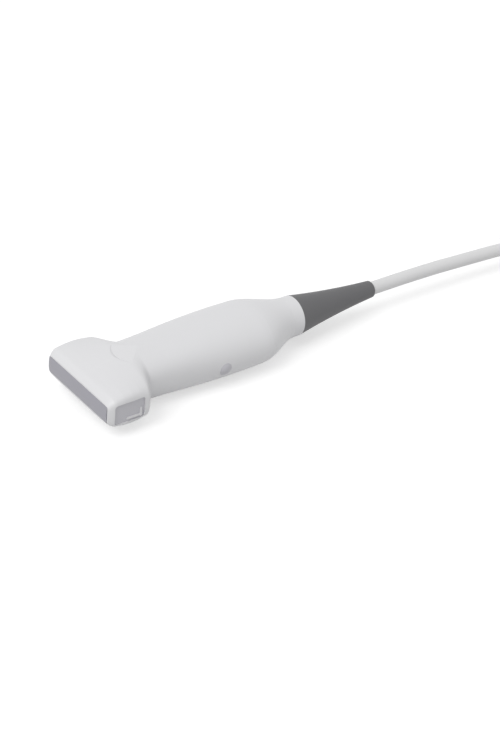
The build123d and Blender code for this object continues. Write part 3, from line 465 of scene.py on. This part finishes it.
class Graph:
    """The nodes of a finish or of the sky."""

    def __init__(self, tree):
        self.tree = tree

    def node(self, kind, settings=None, sockets=None, output=0):
        """Add a node: its settings first, then the values or links of its sockets."""
        made = self.tree.nodes.new("ShaderNode" + kind)
        for name, value in (settings or {}).items():
            setattr(made, name, value)
        for name, value in (sockets or {}).items():
            self.feed(made.inputs[name], value)
        return Value(self, made.outputs[output])

    def feed(self, socket, value):
        if isinstance(value, Value):
            self.tree.links.new(value.socket, socket)
        else:
            socket.default_value = value

    def seen(self):
        """1 where the camera, a mirror or glass sees a surface, and 0 where light bounces off it."""
        camera = self.node("LightPath", output="Is Camera Ray")
        mirror = self.node("LightPath", output="Is Glossy Ray")
        glass = self.node("LightPath", output="Is Transmission Ray")
        return camera | mirror | glass


class Finish(Graph):
    """A material in the making, with its shader and the object's own coordinates."""

    def __init__(self, name, roughness, **constants):
        self.material = bpy.data.materials.new(name)
        self.material.use_nodes = True
        super().__init__(self.material.node_tree)
        self.shader = self.tree.nodes["Principled BSDF"]
        self.paint("Roughness", roughness)
        for socket, value in constants.items():
            self.paint(socket.replace("_", " "), value)
        self.place = self.node("TexCoord", output="Object")

    def paint(self, socket, value):
        self.feed(self.shader.inputs[socket], value)

    def bump(self, height, depth):
        sockets = {"Height": height, "Strength": 1.0, "Distance": depth}
        self.paint("Normal", self.node("Bump", sockets=sockets))

    def axis(self, name):
        return self.node("SeparateXYZ", sockets={0: self.place}, output="XYZ".index(name))

    def noise(self, scale, detail):
        """Noise with so many cells to the metre. Three scales stretch it along the axes."""
        if isinstance(scale, tuple):
            place = self.node("Mapping", sockets={"Vector": self.place, "Scale": scale})
            scale = 1.0
        else:
            place = self.place
        return self.node("TexNoise", sockets={"Vector": place, "Scale": scale, "Detail": detail})

    def waves(self, direction, scale, **more):
        sockets = {"Vector": self.place, "Scale": scale, **more}
        return self.node("TexWave", {"bands_direction": direction}, sockets)

    def blend(self, factor, first, second):
        """A colour between two colours."""
        colours = [c if isinstance(c, Value) else (*c, 1.0) for c in (first, second)]
        sockets = {MIX_FACTOR: factor, MIX_FIRST: colours[0], MIX_SECOND: colours[1]}
        return self.node("Mix", {"data_type": "RGBA"}, sockets, output=MIX_COLOUR)


def tinted(colour, factor):
    return tuple(c * factor for c in colour)


def uneven(roughness, drift, fine):
    """A roughness that drifts and is grained, about its own value."""
    return drift * DRIFT_GLOSS + fine * GRAIN_GLOSS + (roughness - (DRIFT_GLOSS + GRAIN_GLOSS) / 2)


def shell_plastic(name):
    """The housing's pale satin plastic, with a grained floor in the two guide seats that is darkened by
    painted shade.
    """
    finish = Finish(name, HOUSING_ROUGHNESS)
    x = finish.axis("X") - RIM
    y = abs(finish.axis("Y"))
    z = finish.axis("Z") - AXIS_HEIGHT
    along = (x > SEAT_START) * (x < SEAT_END)
    seat_grain_and_painted_shade = along * (z > SEAT_LOW) * (z < SEAT_HIGH) * (y < SEAT_FLOOR)
    drift = finish.noise(DRIFT_SCALE, DRIFT_DETAIL)
    fine = finish.noise(HOUSING_GRAIN, GRAIN_DETAIL)
    plain = finish.blend(drift, *HOUSING_SHADES)
    # The seats' floor is darkened by painted shade of the recess; its roughness and deeper grain are real.
    finish.paint("Base Color", finish.blend(seat_grain_and_painted_shade, plain, SEAT_PAINTED_SHADE_COLOUR))
    finish.paint("Roughness", uneven(HOUSING_ROUGHNESS, drift, fine) + seat_grain_and_painted_shade * SEAT_ROUGHER)
    finish.bump(fine + seat_grain_and_painted_shade * fine * SEAT_DEEPER, HOUSING_DEPTH)
    return finish.material


def moulded(name, colour, roughness, grain, depth, mottle):
    """Moulded plastic or rubber: an even fine grain, with colour and gloss that drift a little."""
    finish = Finish(name, roughness)
    drift = finish.noise(DRIFT_SCALE, DRIFT_DETAIL)
    fine = finish.noise(grain, GRAIN_DETAIL)
    finish.paint("Base Color", finish.blend(drift, tinted(colour, 1 - mottle), tinted(colour, 1 + mottle)))
    finish.paint("Roughness", uneven(roughness, drift, fine))
    finish.bump(fine, depth)
    return finish.material


def film(name):
    """A flexible circuit: amber film over fine copper lines."""
    finish = Finish(name, FILM_ROUGHNESS)
    lines = finish.waves("Y", FILM_LINES) > FILM_LEVEL
    finish.paint("Base Color", finish.blend(lines, *FILM_COLOURS))
    return finish.material


def laminate(name):
    """A circuit board: green mask over copper tracks."""
    finish = Finish(name, BOARD_ROUGHNESS)
    copper = finish.waves("Y", BOARD_TRACKS, Distortion=BOARD_WAVER, Detail=0.0) > BOARD_LEVEL
    finish.paint("Base Color", finish.blend(copper, *BOARD_COLOURS))
    finish.bump(copper, BOARD_DEPTH)
    return finish.material


def wires(name):
    """A bundle of fine jacketed wires."""
    finish = Finish(name, WIRE_ROUGHNESS)
    strands = finish.noise(WIRE_STRANDS, DRIFT_DETAIL)
    finish.paint("Base Color", finish.blend(strands, *WIRE_SHADES))
    finish.bump(strands, WIRE_DEPTH)
    return finish.material


def jacket(name):
    """Cable jacket: smooth and satin, with the slight waviness of an extruded sleeve."""
    finish = Finish(name, JACKET_ROUGHNESS)
    waves = finish.noise(JACKET_WAVES, DRIFT_DETAIL)
    fine = finish.noise(JACKET_GRAIN, GRAIN_DETAIL)
    shades = [tinted(JACKET_COLOUR, factor) for factor in JACKET_SHADES]
    finish.paint("Base Color", finish.blend(waves, *shades))
    finish.paint("Roughness", waves * JACKET_GLOSS + (JACKET_ROUGHNESS - JACKET_SMOOTHER))
    finish.bump(waves * JACKET_WAVE_SHARE + fine * JACKET_GRAIN_SHARE, JACKET_DEPTH)
    return finish.material


def webbing(name):
    """Brushed strap webbing: cross ribs under a short soft nap."""
    finish = Finish(name, WEBBING_ROUGHNESS, Sheen_Weight=WEBBING_SHEEN)
    ribs = finish.waves("X", WEBBING_RIBS)
    nap = finish.noise(WEBBING_NAP, WEBBING_NAP_DETAIL)
    finish.paint("Base Color", finish.blend(nap, *WEBBING_SHADES))
    finish.bump(ribs * WEBBING_RIB_SHARE + nap, WEBBING_DEPTH)
    return finish.material


def drawn_metal(name, colour, roughness, along):
    """Bare metal with fine lines along one direction."""
    finish = Finish(name, roughness, Metallic=1.0)
    scale = tuple(METAL_LINES_ALONG if axis == along else METAL_LINES_ACROSS for axis in "XYZ")
    lines = finish.noise(scale, METAL_DETAIL)
    finish.paint("Base Color", finish.blend(lines, tinted(colour, METAL_SHADE), colour))
    finish.paint("Roughness", lines * METAL_GLOSS + (roughness - METAL_SMOOTHER))
    finish.bump(lines, METAL_DEPTH)
    return finish.material


def floor_surface(name):
    """A pale surface, white where it is seen in full light, that keeps the object's shadow."""
    finish = Finish(name, FLOOR_ROUGHNESS, Specular_IOR_Level=0.0, Emission_Strength=1.0)
    finish.paint("Base Color", (FLOOR_ALBEDO, FLOOR_ALBEDO, FLOOR_ALBEDO, 1.0))
    finish.paint("Emission Color", finish.seen() * FLOOR_GLOW)
    return finish.material


def finishes():
    """The material of each slot."""
    made = {"housing_plastic": shell_plastic("housing_plastic")}
    for name, values in MOULDED.items():
        made[name] = moulded(name, *values)
    made["flex_film"] = film("flex_film")
    made["board_laminate"] = laminate("board_laminate")
    made["coax_wire"] = wires("coax_wire")
    made["cable_jacket"] = jacket("cable_jacket")
    made["tie_webbing"] = webbing("tie_webbing")
    for name, values in METALS.items():
        made[name] = drawn_metal(name, *values)
    return made


def dress(piece, material):
    piece.data.materials.clear()
    piece.data.materials.append(material)


def dress_nodes(materials):
    """Every node of the solid model takes the finish of its own slot."""
    for part in frame["record"]["subparts"]:
        dress(frame["nodes"][part["node"]], materials[part["material_slot"]])


def add_floor():
    bpy.ops.object.select_all(action="DESELECT")
    bpy.ops.mesh.primitive_plane_add(size=FLOOR_SIZE)
    floor = bpy.context.object
    floor.name = "floor"
    dress(floor, floor_surface("floor"))


def add_sky():
    """Even soft light all round, white where the camera sees it."""
    world = bpy.data.worlds.new("studio")
    world.use_nodes = True
    sky = Graph(world.node_tree)
    background = world.node_tree.nodes["Background"]
    sky.feed(background.inputs["Color"], WHITE)
    sky.feed(background.inputs["Strength"], sky.seen() * (1 - SKY_STRENGTH) + SKY_STRENGTH)
    bpy.context.scene.world = world


def add_key():
    """One broad soft light from the front and above, the same all over the surface."""
    data = bpy.data.lights.new("key", "SUN")
    data.energy = KEY_STRENGTH
    data.angle = KEY_SPREAD
    key = bpy.data.objects.new("key", data)
    key.matrix_world = KEY_FROM.to_track_quat("Z", "Y").to_matrix().to_4x4()
    bpy.context.scene.collection.objects.link(key)


add_camera()
cable = add_cable()
MATERIALS = finishes()
dress_nodes(MATERIALS)
dress(cable, MATERIALS["cable_jacket"])
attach(cable, "root")
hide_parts(*CABLE_SOLIDS)
marker = add_marker()
dress(marker, MATERIALS["marker_plastic"])
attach(marker, "root")
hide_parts("orientation_marker")
for side in ("near", "far"):
    strap = add_strap(f"hank_strap_{side}", f"hank_tie_{side}")
    dress(strap, MATERIALS["tie_webbing"])
    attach(strap, "root")
    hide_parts(f"hank_tie_{side}")
add_floor()
add_sky()
add_key()
bpy.context.scene.view_settings.view_transform = "Standard"
